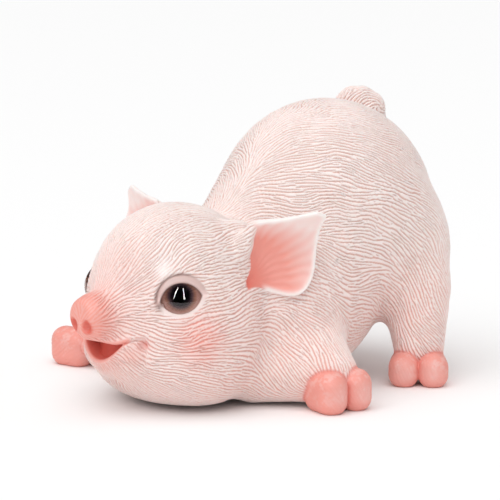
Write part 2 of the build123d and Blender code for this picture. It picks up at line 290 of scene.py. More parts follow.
def lid_relief(local, opening, fold):
    x, y, z = local[..., 0], local[..., 1], local[..., 2]
    above = ramp(y, -2.5, 1.5)
    toward_nose = ramp(-x, -9, 4)
    height = 0.4 * bell(opening - 0.6, 0.6)
    height += 0.2 * ramp(opening, 0, 1) * ramp(-fold, 0, 1) * above
    height -= 0.85 * bell(fold, 0.55) * above * (0.35 + 0.65 * toward_nose)
    height += 0.45 * bell(fold - 2.0, 1.6) * above * toward_nose
    height += 0.35 * bell(opening - 2.8, 1.2) * ramp(-y, -1, 3)
    inner_crease = np.hypot(np.maximum(np.abs(x + 11) - 2.4, 0), y + 1.7 - 0.05 * (x + 8))
    outer_crease = np.hypot(np.maximum(np.abs(x - 10.4) - 2.0, 0), y - 0.3)
    height -= 0.6 * bell(inner_crease, 0.6) + 0.35 * bell(outer_crease, 0.6)
    return height * ramp(z, -9, -6) * ramp(-np.hypot(x, y), -18, -13)


# %% [markdown]
# The mouth is open in a smile. Two curves give the heights of the lips over the distance from the middle:
# between them the mouth is hollow, and where they cross it closes to a crease that runs to the corner.

# %% Face
def lips(p):
    """Heights of the upper and the lower lip edge at each point's distance from the middle."""
    x = np.abs(p[..., 0])
    upper = 30.7 + 1.4 * bell(x, 5) + 3.0 * ramp(x, 8, 19)
    return upper, 24.0 + 8.0 * (x / 12.3) ** 2


def lip_relief(p):
    x, y, z = np.abs(p[..., 0]), p[..., 1], p[..., 2]
    upper, lower = lips(p)
    height = 0.7 * bell(z - lower + 1.6, 1.3) * ramp(-x, -15, -11) * ramp(-y, 66, 70)
    height += 0.6 * bell(z - upper - 1.2, 1.0) * ramp(-x, -17, -12) * ramp(-y, 68, 72)
    crease = np.hypot(np.maximum(np.abs(x - 15.5) - 3, 0), z - upper)
    height += 0.7 * bell(np.hypot((x - 13.5) / 4.5, (z - 25.5) / 4.5), 1) * ramp(-y, 66, 70)
    smile_fold = np.hypot(np.maximum(np.abs(z - 27.5) - 4.5, 0), x - 19.0 + 0.03 * (z - 30) ** 2)
    height -= 0.7 * bell(smile_fold, 0.8) * ramp(-y, 64, 68)
    return height - 1.0 * bell(crease, 0.6) * ramp(-y, 66, 70)


MOUTH_DEPTH = 4.5
MOUTH_CORNER = np.float32([18.4, -73.6, 31.4])
NOSTRIL_X, NOSTRIL_Z = 4.2, 38.8
NOSTRIL_YAW = 10


def face(p):
    local, opening, fold = eye_view(p)
    plain = head_form(p)
    d = plain - lid_relief(local, opening, fold) - lip_relief(p)
    d = carve(d, np.maximum(opening, -local[..., 2] - 6.5), 0.35)
    tear_duct = egg(local, (-8.3, -1.4, -1.4), (1.2, 0.9, 1.0))
    d = join(d, tear_duct, 0.3)
    z = p[..., 2]
    upper, lower = lips(p)
    hollow = np.maximum(np.maximum(z - upper, lower - z) * 0.85, -plain - MOUTH_DEPTH)
    d = carve(d, hollow, 0.9)
    d = carve(d, egg(mirrored(p), MOUTH_CORNER, (1.5, 2.2, 3.0)), 1.2)
    tongue = egg(p, (0, -68.5, 24.6), (9.5, 8.5, 2.6))
    d = join(d, tongue, 1.5)
    nostril_middle = (NOSTRIL_X, -92.4, NOSTRIL_Z)
    nostril = egg(mirrored(p), nostril_middle, (2.4, 4.0, 3.0), yawed(NOSTRIL_YAW))
    return carve(d, nostril, 0.9)


# %% [markdown]
# An ear is a cupped leaf with a thick rim and a roll of skin in front of its notch. Its outline is drawn in
# the ear's own plane: u runs from root to tip and v upward. The right ear has the same shape in mirror
# image, but faces more forward, as the photo shows.

# %% Ears
EAR_ROOT = np.float32([30.0, -27.5, 64.5])
EAR_AXES = aimed((0.853, -0.484, -0.195), (0.73, 0.677, 0.089))
RIGHT_EAR_ROOT = np.float32([28.5, -27.5, 67.5])
RIGHT_EAR_AXES = aimed((0.306, -0.873, 0.380), (0.931, 0.358, 0.073))
EAR_CORNERS = [
    (-3, -10.3), (2.5, -11.6), (8, -15.5), (14, -18.2), (18.5, -19), (23, -17.3), (27, -12), (29, -4),
    (31, 4.5), (35, 13.2), (20, 11.8), (9.5, 12.3), (4.8, 11.8), (4.4, 8), (3.4, 3), (3, -3), (2, -6.5),
]


def rounded(corners):
    """The same outline with each corner cut off at a quarter of its sides."""
    softer = []
    for (ax, ay), (bx, by) in zip(corners, corners[1:] + corners[:1]):
        softer.append((0.75 * ax + 0.25 * bx, 0.75 * ay + 0.25 * by))
        softer.append((0.25 * ax + 0.75 * bx, 0.25 * ay + 0.75 * by))
    return softer


EAR_OUTLINE = rounded(EAR_CORNERS)


def outline_distance(x, y, corners):
    """Distance to a closed outline in its plane, negative inside."""
    nearest = np.full(x.shape, 1e9, np.float32)
    inside = np.zeros(x.shape, bool)
    for (ax, ay), (bx, by) in zip(corners, corners[1:] + corners[:1]):
        ex, ey = bx - ax, by - ay
        t = np.clip(((x - ax) * ex + (y - ay) * ey) / (ex * ex + ey * ey), 0, 1)
        nearest = np.minimum(nearest, np.hypot(x - ax - t * ex, y - ay - t * ey))
        if ey:
            inside ^= ((ay > y) != (by > y)) & (x < ax + ex * (y - ay) / ey)
    return np.where(inside, -nearest, nearest)


def ear_view(p):
    """Ear-frame coordinates, height over the cupped middle sheet, and distance to the rim."""
    m = mirrored(p)
    local = np.where(p[..., :1] > 0, (m - EAR_ROOT) @ EAR_AXES, (m - RIGHT_EAR_ROOT) @ RIGHT_EAR_AXES)
    u, v, w = local[..., 0], local[..., 1], local[..., 2]
    sheet = -1.6 + 4.0 * (v / 15) ** 2 - 2.4 * bell(u - 4, 9) + 1.5 * ramp(u, 18, 36)
    sheet += 5.0 * bell(np.hypot(u, v + 10), 8)
    return local, w - sheet, outline_distance(u, v, EAR_OUTLINE) - 1.2


def ear_roll(local):
    """The roll of skin that closes the front of the cup, and the thick root behind it."""
    roll = limb(local, (4.0, 10.5, -0.6), (-0.8, 4.0, -0.4), 2.0, 3.6)
    roll = join(roll, limb(local, (-0.8, 4.0, -0.4), (-2.8, -9.5, -1.0), 3.6, 2.4), 3.0)
    return join(roll, egg(local, (-4.0, 3.0, -9.0), (12, 9, 7)), 4.0)


def ear_hollow(local, height, rim):
    """The room in front of the cup, which the cheek must not fill."""
    return np.maximum(np.maximum(rim + 0.8, -height), local[..., 2] - 10)


def ear(local, height, rim):
    thickness = 1.5 - 0.5 * ramp(local[..., 0], 5, 30) + 0.35 * bell(rim + 1.5, 1.4)
    blade = -join(thickness - np.abs(height), -rim, 1.0)
    return join(blade, ear_roll(local), 1.6)


# %% [markdown]
# All forms together are the skin. The fillets are wide where muscle runs over, as at neck and shoulders, and
# narrow where a separate casting was set in, as at the ears and the tail.

# %% The whole skin
FILLETS = {
    "left_hind_leg": 6, "right_hind_leg": 6, "left_foreleg": 8, "right_foreleg": 8,
    "head_casting": 6, "left_ear": 3, "right_ear": 3, "tail": 1.5,
}


def castings(p):
    """Distance to each casting, and to the horn of each hoof."""
    made, horn = legs(p)
    made["torso_casting"] = torso(p)
    made["head_casting"] = face(p)
    ear_place = ear_view(p)
    made["head_casting"] = carve(made["head_casting"], ear_hollow(*ear_place), 1.6)
    both_ears = ear(*ear_place)
    made["left_ear"] = np.where(p[..., 0] > 0, both_ears, 99)
    made["right_ear"] = np.where(p[..., 0] > 0, 99, both_ears)
    made["tail"] = tail(p)
    return made, horn


def skin(p):
    made, _ = castings(p)
    d = made["torso_casting"]
    for name, fillet in FILLETS.items():
        d = join(d, made[name], fillet)
    return np.maximum(d, -p[..., 2])


# %% [markdown]
# Now the formula becomes a mesh. It is measured on a grid of points, but only near the surface: a coarse
# pass finds the blocks that the skin runs through. OpenVDB, which also drives Blender's volume remesher,
# then lays quads on the zero level.

# %% From distances to quads
VOXEL = 0.7
BLOCK = 4
GRID_LOW = np.float32([-106, -96, -4])
GRID_HIGH = np.float32([80, 106, 132])


CHUNK = 150_000  # points measured at a time, which keeps the memory small


def measured(points):
    return np.concatenate([skin(points[i:i + CHUNK]) for i in range(0, len(points), CHUNK)])


def grid_points(counts, step, first):
    axes = [first[i] + step * np.arange(counts[i], dtype=np.float32) for i in range(3)]
    return np.stack(np.meshgrid(*axes, indexing="ij"), -1)


def enlarged(values):
    """Each block's value repeated for all grid points in it."""
    for axis in range(3):
        values = np.repeat(values, BLOCK, axis)
    return values


block_size = VOXEL * BLOCK
blocks = np.ceil((GRID_HIGH - GRID_LOW) / block_size).astype(int)
middles = grid_points(blocks, block_size, GRID_LOW + VOXEL * (BLOCK - 1) / 2)
coarse = measured(middles.reshape(-1, 3)).reshape(blocks)
near_skin = np.abs(coarse) < 1.3 * block_size
band = np.float32(3 * VOXEL)
levels = enlarged(np.sign(coarse) * band)
wanted = enlarged(near_skin)
cells = np.argwhere(wanted)
fine = measured(GRID_LOW + VOXEL * cells.astype(np.float32))
levels[wanted] = np.clip(fine, -band, band)
volume = openvdb.FloatGrid(band)
volume.copyFromArray(np.ascontiguousarray(levels, np.float32))
points, quads = volume.convertToQuads(0.0)
points = (GRID_LOW + VOXEL * points).astype(np.float32)
quads = quads.astype(np.int64)
print(len(cells), "grid points near the skin,", len(quads), "quads")

# %% [markdown]
# Each quad is split in four, and every corner is pulled onto the exact surface along the field's slope. That
# gives corners about a third of a millimetre apart, fine enough to carve single strokes of hair.

# %% Refine and settle onto the surface
def split(points, quads):
    edges = np.sort(np.stack([quads, np.roll(quads, -1, 1)], -1), -1).reshape(-1, 2)
    keys, which = np.unique(edges[:, 0] * len(points) + edges[:, 1], return_inverse=True)
    halves = (points[keys // len(points)] + points[keys % len(points)]) / 2
    centres = points[quads].mean(1)
    on_edge = len(points) + which.reshape(-1, 4)
    centre = len(points) + len(halves) + np.arange(len(quads))
    four = [np.stack([quads[:, i], on_edge[:, i], centre, on_edge[:, i - 1]], -1) for i in range(4)]
    return np.concatenate([points, halves, centres]).astype(np.float32), np.concatenate(four)


TETRA = np.float32([[1, 1, 1], [1, -1, -1], [-1, 1, -1], [-1, -1, 1]])


def settled(points, reach=0.12):
    """Points moved onto the skin, and the outward direction there."""
    readings = [measured(points + reach * corner) for corner in TETRA]
    slope = sum(np.outer(reading, corner) for reading, corner in zip(readings, TETRA)) / (4 * reach)
    steepness = np.maximum((slope ** 2).sum(-1, keepdims=True), 0.2)
    step = np.clip(sum(readings) / 4, -VOXEL, VOXEL)[:, None] * slope / steepness
    return (points - step).astype(np.float32), slope / np.sqrt(steepness)


points, outward = settled(points)
points, quads = split(points, quads)
points, outward = settled(points)
outward = (outward / np.linalg.norm(outward, axis=1, keepdims=True)).astype(np.float32)
corner = points[quads]
facing = np.cross(corner[:, 2] - corner[:, 0], corner[:, 3] - corner[:, 1])
if (facing * outward[quads[:, 0]]).sum() < 0:
    quads = quads[:, ::-1]
points[:, 2] = np.maximum(points[:, 2], 0)
print(len(points), "corners, box", points.min(0).round(1), points.max(0).round(1))

# %% [markdown]
# Which casting does a spot of skin belong to, and is it bare? Snout, lips, lids, the cups of the ears and
# the horn of the hooves were left smooth; everything else carries carved hair.

# %% What each spot of skin is
made, horn = {}, {}
for i in range(0, len(points), CHUNK):
    some_made, some_horn = castings(points[i:i + CHUNK])
    for store, some in ((made, some_made), (horn, some_horn)):
        for name, d in some.items():
            store.setdefault(name, []).append(d)
made = {name: np.concatenate(d) for name, d in made.items()}
hooves = np.minimum.reduce([np.concatenate(d) for d in horn.values()])
x, y, z = points.T
side_x = np.abs(x)
on_head = ramp(-made["head_casting"], -1.5, -0.2)
local, opening, fold = eye_view(points)
by_eye = ramp(local[:, 2], -9, -6) * on_head
lid = np.maximum(ramp(-opening, -2.2, -1.2), ramp(-fold, -0.6, 0.2) * ramp(local[:, 1], -2.5, 0.5))
lid = lid * by_eye
ear_local, ear_height, ear_rim = ear_view(points)
in_ear = np.minimum(made["left_ear"], made["right_ear"]) < 0.6
in_cup = ramp(-ear_rim, -0.3, 0.5) * ramp(ear_height, 0, 0.5) * ramp(-ear_local[:, 2], -11, -9)
cup = in_cup * ramp(ear_roll(ear_local), -0.2, 0.6) * ramp(ear_local[:, 0], -3.5, -1.5)
rim = bell(ear_rim + 0.3, 1.2) * in_ear * ramp(ear_local[:, 0], 4, 8)
snout = ramp(-y, 84.5, 88) * ramp(z, 32, 35) * on_head
upper, lower = lips(points)
lip_gap = np.maximum(z - upper, lower - z)
mouth = ramp(-lip_gap, -2.4, -1.2) * ramp(-side_x, -15.5, -13.5) * ramp(-y, 62, 66) * on_head
hoof = ramp(-hooves, -0.9, -0.1)
brow = bell(np.hypot((local[:, 0] + 5) / 3.5, (local[:, 1] - 13) / 4.5), 1) * by_eye
sole = ramp(-z, -1.0, -0.3)
bare = np.maximum.reduce([lid, cup, 0.8 * rim, 0.7 * brow, snout, mouth, 0.8 * hoof, sole])
bare = np.clip(bare, 0, 1)
print("bare skin: %.1f %% of the corners" % (100 * bare.mean()))

# %% [markdown]
# The hair is carved in strokes that follow the way a piglet's coat lies: away from the snout on the head,
# over the back from neck to rump, and down the legs. Such strokes can be drawn by smearing a fine random
# grain along the lie of the coat, which keeps it sharp across and long along. Combing makes them even: the
# smear is repeated from corner to corner, and what is broader than a stroke is taken away each time.

# %% Lie of the coat
def unit(v):
    return v / np.maximum(np.linalg.norm(v, axis=-1, keepdims=True), 1e-6)


def hashed(cell):
    """A repeatable random number between 0 and 1 for each whole-numbered cell."""
    h = cell[..., 0] * 374761393 + cell[..., 1] * 668265263 + cell[..., 2] * 2147483647
    h = (h ^ (h >> 13)) * 1274126177
    return ((h ^ (h >> 16)) & 65535).astype(np.float32) / 65535


def grain(p):
    """Smooth random values, one cell wide."""
    cell = np.floor(p).astype(np.int64)
    t = (p - cell).astype(np.float32)
    t = t * t * (3 - 2 * t)
    total = np.zeros(len(p), np.float32)
    for i in (0, 1):
        for j in (0, 1):
            for k in (0, 1):
                weight = np.ones(len(p), np.float32)
                for axis, bit in enumerate((i, j, k)):
                    weight = weight * (t[:, axis] if bit else 1 - t[:, axis])
                total += weight * hashed(cell + np.int64([i, j, k]))
    return total


def steady(direction):
    """The same direction at every corner."""
    return np.float32(direction) + 0 * points


def down_the_leg(name, shoulder):
    hoof_x, hoof_y, _, _ = HOOVES[name]
    return steady(np.float32([hoof_x, hoof_y, 6]) - np.float32(shoulder))


upright = np.float32([0, 0, 1])
lie = {
    "torso_casting": np.stack([0.35 * np.tanh(x / 15), 1 + 0 * x, -0.25 + 0 * x], -1),
    "head_casting": points - np.float32([0, -92, 40]),
    "left_hind_leg": steady((0.3, 0.5, -0.9)),
    "right_hind_leg": steady((-0.3, 0.5, -0.9)),
    "left_foreleg": down_the_leg("left_foreleg", (20, 0, 40)),
    "right_foreleg": down_the_leg("right_foreleg", (-20, 0, 40)),
    "left_ear": steady(EAR_AXES[:, 0]),
    "right_ear": steady(EAR_AXES[:, 0] * OTHER_SIDE),
    "tail": TAIL_WAY + 0.06 * np.cross(upright, points - TAIL_ROOT),
}
nearest = np.minimum.reduce(list(made.values()))
flow = np.zeros_like(points)
for name, direction in lie.items():
    flow += np.exp(-(made[name] - nearest) / 5)[:, None] * unit(direction)
flow = unit(flow - outward * (flow * outward).sum(-1, keepdims=True))
across = np.cross(outward, flow)
sway = (grain(points / 12 + 40) - 0.5) * 1.0 + (grain(points / 5 + 60) - 0.5) * 0.35
flow = (flow * np.cos(sway)[:, None] + across * np.sin(sway)[:, None]).astype(np.float32)


def strokes(width, length, seed):
    """Grain of the given width smeared over the given length: a mean of 0 and a spread of 1."""
    total = np.zeros(len(points), np.float32)
    steps = np.arange(-0.5, 0.51, 0.8 * width / length)
    for t in steps:
        total += (1 - (2 * t) ** 2) * grain((points + t * length * flow) / width + seed)
    return (total - total.mean()) / total.std()


edge_from, edge_to = quads.ravel(), np.roll(quads, -1, 1).ravel()
edge_count = np.bincount(edge_from, minlength=len(points))
way_from = np.concatenate([edge_from, edge_from])
way_to = np.concatenate([edge_to, np.roll(quads, -2, 1).ravel()])
lean = (unit(points[way_to] - points[way_from]) * flow[way_from]).sum(-1) ** 8
lean_sum = np.bincount(way_from, lean, len(points)) + 1e-6


def blurred(values, rounds):
    for _ in range(rounds):
        values = (values + np.bincount(edge_from, values[edge_to], len(points)) / edge_count) / 2
    return values


COMBINGS = 6
SMEARS = 6
hair = strokes(0.5, 8, 0)
for _ in range(COMBINGS):
    for _ in range(SMEARS):
        hair = (hair + np.bincount(way_from, lean * hair[way_to], len(points)) / lean_sum) / 2
    hair = hair - blurred(hair, 8)
    hair = hair / np.sqrt(blurred(hair ** 2, 12) + 1e-6)
tufts = strokes(2.0, 16, 70)
cut = ramp(-hair, 0.1, 1.4)
print("strokes drawn over", len(points), "corners")

# %% [markdown]
# A stroke is a groove between two low ridges, and the tool was not pressed equally hard everywhere. The cups
# of the ears have no hair, only fine lines that fan out from the notch.

# %% Carve the strokes
STROKE_DEPTH = 0.4
EAR_LINE_DEPTH = 0.12
EAR_LINES = 38  # in a full turn about the notch
pressure = 0.7 + 0.6 * grain(points / 6 + 90)
relief = STROKE_DEPTH * pressure * (0.25 - cut + 0.2 * np.clip(hair, -1, 1.5)) + 0.05 * tufts
relief = relief * (1 - bare)
from_notch = np.arctan2(ear_local[:, 1] + 11, ear_local[:, 0] + 3)
ear_lines = cup * np.sin(EAR_LINES * from_notch + 4 * grain(points / 6)) * ramp(ear_local[:, 0], 1, 9)
points = points + outward * (relief + EAR_LINE_DEPTH * ear_lines)[:, None]
points[:, 2] = np.maximum(points[:, 2], 0)

# %% [markdown]
# The paint is a pale skin colour with a pink wash that stayed in the grooves, and coral airbrushed onto
# snout, lips, hooves, ears and cheeks. Five masks hold where each paint goes, together with painted shade
# round the eyes, low on the body, in the ear notches and hoof creases, and a painted highlight on the
# hooves; the material turns them to colour.

# %% Paint masks
groove = cut * (1 - bare)
CHEEK = np.float32([36, -57.7, 33.5])
CHEEK_WIDTH = 12
from_cheek = np.linalg.norm(mirrored(points) - CHEEK, axis=1)
blush = bell(from_cheek, CHEEK_WIDTH) * (0.5 + 0.7 * cut)
notch_distance = np.hypot(ear_local[:, 0] + 3, ear_local[:, 1] + 10)
# Coral in the ear cups, strongest at the notch where the cup is hollowest and in the grooves of the fine
# lines: coral paint with painted shade there.
ear_coral_and_notch_shade = 1.12 - 0.95 * ramp(notch_distance, 13, 41) - 0.3 * ramp(ear_local[:, 1], 3, 11) - 0.06 * ear_lines
ear_coral_and_notch_shade = cup * np.clip(ear_coral_and_notch_shade, 0.12, 1) * (1 - 0.8 * rim)
around_eye = 0.25 * lid
muzzle_pink = on_head * (0.22 * ramp(-y, 60, 76) + 0.78 * ramp(-y, 74, 89)) * (0.85 + 0.5 * cut)
lip_pad = bell(np.hypot((side_x - 14.5) / 5, (z - 27) / 5.5), 1) * ramp(-y, 62, 66) * on_head
# Pink wash that grows toward the bottom and darkens the lower body: partly pink paint, partly painted shade.
low_wash_and_shade = 0.2 * ramp(72 - z, 0, 40) * (0.5 + 1.2 * cut)
# Broken dry-brush grain; on the hooves it pales the upward-facing horn, a painted highlight.
dry_brush_and_highlight = ramp(0.6 * grain(points / 2.4 + 20) + 0.4 * grain(points / 0.8 + 50), 0.48, 0.72)
cleft, toe_middle_highlight = np.zeros(len(points)), np.zeros(len(points))
for hoof_x, hoof_y, hoof_z, turn in HOOVES.values():
    in_hoof = (points - np.float32([hoof_x, hoof_y, hoof_z])) @ yawed(turn)
    here = hoof * (np.linalg.norm(in_hoof, axis=1) < 20)
    cleft = np.maximum(cleft, here * bell(in_hoof[:, 0], 1.1))
    from_toe = np.hypot(np.abs(in_hoof[:, 0]) - TOE_SPREAD, in_hoof[:, 2])
    toe_middle_highlight = np.maximum(toe_middle_highlight, here * bell(from_toe, 5))
# The horn's coral, paler where the horn faces up and in the middle of each toe: painted highlight.
horn_pink = hoof * (0.92 - 0.3 * dry_brush_and_highlight * ramp(outward[:, 2], -0.5, 0.4)) * (1 - 0.3 * toe_middle_highlight)
above_hoof = 0.6 * bell(hooves, 4.5) * (0.4 + 0.6 * cut) * ramp(hooves, 0, 1)
coral = np.maximum.reduce([
    blush, ear_coral_and_notch_shade, around_eye, 0.85 * mouth, horn_pink, above_hoof, muzzle_pink, 0.5 * lip_pad, low_wash_and_shade,
])
nostril_middle = (NOSTRIL_X, SNOUT_FRONT, NOSTRIL_Z)
nostrils = egg(mirrored(points), nostril_middle, (3.1, 3.4, 3.7), yawed(NOSTRIL_YAW))
from_mouth_corner = np.hypot(side_x - MOUTH_CORNER[0], z - MOUTH_CORNER[2])
in_mouth = ramp(-lip_gap, -0.6, 0.4) * mouth
deep = np.maximum.reduce([
    0.85 * ramp(-nostrils, -0.4, 1.2),
    in_mouth,
    0.6 * bell(from_mouth_corner, 2.0) * ramp(-y, 62, 66) * on_head,
    # painted shade: deeper red in the hollow of each ear cup at its notch
    0.7 * cup * bell(notch_distance, 9),
    # darker coral-red in the crease above the horn and in the cleft between the toes: partly painted shade
    0.6 * bell(hooves - 0.5, 0.5),
    0.5 * cleft,
])
tear = bell(np.linalg.norm(local - np.float32([-8.6, -1.5, -1.0]), axis=1), 1.8) * by_eye
shade = np.maximum.reduce([
    tear,
    0.7 * bell(fold, 0.7) * ramp(local[:, 1], -2.5, 1) * ramp(-local[:, 0], -11, -3) * by_eye,
    0.85 * bell(opening + 0.2, 0.55) * (0.45 + 0.55 * ramp(local[:, 1], -4, 2)) * by_eye,
    0.36 * lid * ramp(local[:, 1], -0.5, 3),
])
lower_lid = bell(opening - 0.9, 0.8) * ramp(-local[:, 1], 0, 3) * by_eye
white = np.maximum.reduce([0.9 * rim, 0.5 * lower_lid, 0.4 * brow])

# %% [markdown]
# The skin is now cut into the castings that it is made of. Every quad goes to the casting whose own form is
# nearest. Both sides of a seam keep the shading of the whole skin, because the real seams are filled and
# painted over. Along each seam a low wall goes under the skin, and from its lower edge a fan closes the open
# end. The fan's middle is sunk until all of the fan lies inside the figure.

# %% Cut the skin into castings
names = list(made)
nearest_casting = np.argmin(np.stack([made[name][quads].sum(1) for name in names]), 0)
corner = points[quads]
facing = np.cross(corner[:, 2] - corner[:, 0], corner[:, 3] - corner[:, 1])
shading = np.zeros_like(points)
for i in range(4):
    for axis in range(3):
        shading[:, axis] += np.bincount(quads[:, i], facing[:, axis], len(points))
shading = unit(shading)
masks = {"groove": groove, "coral": coral, "deep": deep, "shade": shade, "white": white}


def seam_loops(faces):
    """Rings of corners along the open edge of a set of quads."""
    edges = np.stack([faces, np.roll(faces, -1, 1)], -1).reshape(-1, 2)
    size = faces.max() + 1
    forward, back = edges[:, 0] * size + edges[:, 1], edges[:, 1] * size + edges[:, 0]
    follows = {}
    for a, b in edges[~np.isin(forward, back)]:
        follows.setdefault(int(a), []).append(int(b))
    loops = []
    while follows:
        start = next(iter(follows))
        loop, here = [], start
        while here in follows:
            loop.append(here)
            after = follows[here].pop()
            if not follows[here]:
                del follows[here]
            here = after
        loops.append(loop)
    return loops


WALL_DEPTH = 0.9
FAN_DEPTHS = (0, 2, 5, 9, 14)
SPOKE_TESTS = (0.0, 0.1, 0.25, 0.5, 0.75, 1.0)


def casting_mesh(name, faces):
    used, local_faces = np.unique(faces, return_inverse=True)
    local_faces = local_faces.reshape(-1, 4)
    where, normals = [points[used]], [shading[used]]
    count, walls, fans = len(used), [], []
    for loop in seam_loops(local_faces):
        ring, tilt = points[used[loop]], shading[used[loop]]
        inset = ring - WALL_DEPTH * tilt
        turn = [(i, (i - 1) % len(loop)) for i in range(len(loop))]
        walls += [(loop[i], loop[before], count + before, count + i) for i, before in turn]
        where.append(inset)
        normals.append(tilt)
        for depth in FAN_DEPTHS:
            middle = inset.mean(0) - depth * unit(tilt.mean(0))
            spokes = np.concatenate([inset + t * (middle - inset) for t in SPOKE_TESTS])
            if skin(spokes.astype(np.float32)).max() < -0.1:
                middle_at = count + len(loop)
                fans += [(count + i, count + before, middle_at) for i, before in turn]
                where.append(middle[None])
                normals.append(unit(middle - points[used].mean(0))[None])
                break
        else:
            print(name, "keeps an open seam of", len(loop), "corners")
        count = sum(len(some) for some in where)
    where, normals = np.concatenate(where), np.concatenate(normals)
    fours = np.concatenate([local_faces, np.int64(walls).reshape(-1, 4)])
    corners = np.concatenate([fours.ravel(), np.int64(fans).ravel()])
    starts = np.concatenate([4 * np.arange(len(fours)), 4 * len(fours) + 3 * np.arange(len(fans))])
    mesh = bpy.data.meshes.new(name)
    mesh.vertices.add(len(where))
    mesh.vertices.foreach_set("co", (where / 1000 + np.float32(ORIGIN)).astype(np.float32).ravel())
    mesh.loops.add(len(corners))
    mesh.loops.foreach_set("vertex_index", corners.astype(np.int32))
    mesh.polygons.add(len(starts))
    mesh.polygons.foreach_set("loop_start", starts.astype(np.int32))
    mesh.update(calc_edges=True)
    for mask, values in masks.items():
        layer = mesh.attributes.new(mask, "FLOAT", "POINT")
        filled = np.zeros(len(where), np.float32)
        filled[:len(used)] = values[used]
        layer.data.foreach_set("value", filled)
    mesh.validate()
    mesh.shade_smooth()
    mesh.normals_split_custom_set_from_vertices(normals)
    return mesh


# %% [markdown]
# Materials. One function adds a node, sets its properties and sockets and makes its links; one turns the
# colours, written as on a paint card, to the linear values that a renderer works with.

# %% Colours and nodes
def linear(code):
    channels = [int(code[i:i + 2], 16) / 255 for i in (1, 3, 5)]
    return [c / 12.92 if c <= 0.04045 else ((c + 0.055) / 1.055) ** 2.4 for c in channels] + [1.0]


def add(tree, kind, sockets=(), **settings):
    """A new node; sockets maps an input's name or number to a value or to another node's output."""
    node = tree.nodes.new(kind)
    for key, value in settings.items():
        setattr(node, key, value)
    for key, value in dict(sockets).items():
        if isinstance(value, bpy.types.NodeSocket):
            tree.links.new(value, node.inputs[key])
        else:
            node.inputs[key].default_value = value
    return node


def new_material(name):
    material = bpy.data.materials.new(name)
    material.use_nodes = True
    material.node_tree.nodes.clear()
    return material, material.node_tree


# %% [markdown]
# Polyester resin, cast in silicone moulds and painted with matt acrylics. The eye sees a dry, slightly waxy
# skin: pale on the ridges of the hair, pink where the wash ran into the grooves, coral where it was sprayed.
# The paints are laid over each other like layers, each with its mask as the factor of a mix node.

# %% Painted resin
MIX_FACTOR, MIX_BELOW, MIX_ABOVE, MIX_RESULT = 0, 6, 7, 2  # a colour mix node's sockets, by number
painted_resin, tree = new_material("painted_polyester_resin")
mask = {name: add(tree, "ShaderNodeAttribute", attribute_name=name).outputs["Fac"] for name in masks}
place = add(tree, "ShaderNodeTexCoord").outputs["Object"]
MOTTLE_MM = 22
mottle = add(tree, "ShaderNodeTexNoise", {"Vector": place, "Scale": 1000 / MOTTLE_MM, "Detail": 3.0})
layers = [
    (mottle.outputs["Fac"], "#FAF0ED", "#F6E5E0"),
    (mask["groove"], None, "#E0B6AB"),
    (mask["coral"], None, "#F2A093"),
    (mask["deep"], None, "#E06A5A"),
    (mask["shade"], None, "#7A4C41"),
    (mask["white"], None, "#FDF4F1"),
]
colour = None
for factor, below, above in layers:
    base = linear(below) if colour is None else colour
    sockets = {MIX_FACTOR: factor, MIX_BELOW: base, MIX_ABOVE: linear(above)}
    colour = add(tree, "ShaderNodeMix", sockets, data_type="RGBA").outputs[MIX_RESULT]
BRUSH_MM = 0.35
speckle = add(tree, "ShaderNodeTexNoise", {"Vector": place, "Scale": 1000 / BRUSH_MM, "Detail": 2.0})
bump = add(tree, "ShaderNodeBump", {
    "Height": speckle.outputs["Fac"], "Strength": 0.12, "Distance": 0.0002,
})
coat_shader = add(tree, "ShaderNodeBsdfPrincipled", {
    "Base Color": colour, "Roughness": 0.5, "IOR": 1.5, "Specular IOR Level": 0.35,
    "Subsurface Weight": 0.08, "Subsurface Radius": (1.0, 0.4, 0.3), "Subsurface Scale": 0.0012,
    "Normal": bump.outputs["Normal"],
})
add(tree, "ShaderNodeOutputMaterial", {"Surface": coat_shader.outputs["BSDF"]})

# %% [markdown]
# Each casting becomes an object of its own, rides the one body there is and stands for its CAD node.

# %% The nine castings
for number, name in enumerate(names):
    mesh = casting_mesh(name + "_skin", quads[nearest_casting == number])
    piece = bpy.data.objects.new(name + "_skin", mesh)
    bpy.context.collection.objects.link(piece)
    mesh.materials.append(painted_resin)
    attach(piece, "root")
    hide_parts(name)
    print(name, len(mesh.polygons), "faces")

# %% [markdown]
# Each eye is two pieces, as bought from an eye maker: a clear acrylic dome and, behind it, a painted disc.
# The dome is a slice of a ball, so it is turned on a lathe: a profile carried round its axis.

# %% Eye pieces
BALL_RADIUS = 10.2
BALL_DEPTH = 8.1
DOME_RADIUS = 8.5
PUPIL_RADIUS = 2.8
PUPIL_RISE = 1.2


def turned(name, profile, steps=72):
    """A lathe-turned solid; the profile runs from the axis at the front to the axis at the back, in mm."""
    ring = profile[1:-1]
    corners = [(0, 0, profile[0][1] / 1000)]
    for radius, height in ring:
        for i in range(steps):
            angle = 2 * math.pi * i / steps
            across, up = radius * math.cos(angle), radius * math.sin(angle)
            corners.append((across / 1000, up / 1000, height / 1000))
    corners.append((0, 0, profile[-1][1] / 1000))
    faces = [(0, 1 + i, 1 + (i + 1) % steps) for i in range(steps)]
    for r in range(len(ring) - 1):
        a, b = 1 + r * steps, 1 + (r + 1) * steps
        faces += [(a + i, b + i, b + (i + 1) % steps, a + (i + 1) % steps) for i in range(steps)]
    last = 1 + (len(ring) - 1) * steps
    faces += [(last + i, len(corners) - 1, last + (i + 1) % steps) for i in range(steps)]
    mesh = bpy.data.meshes.new(name)
    mesh.from_pydata(corners, [], faces)
    mesh.shade_smooth()
    mesh.set_sharp_from_angle(angle=math.radians(40))
    return mesh


def dome_height(radius):
    return math.sqrt(BALL_RADIUS ** 2 - radius ** 2) - BALL_DEPTH


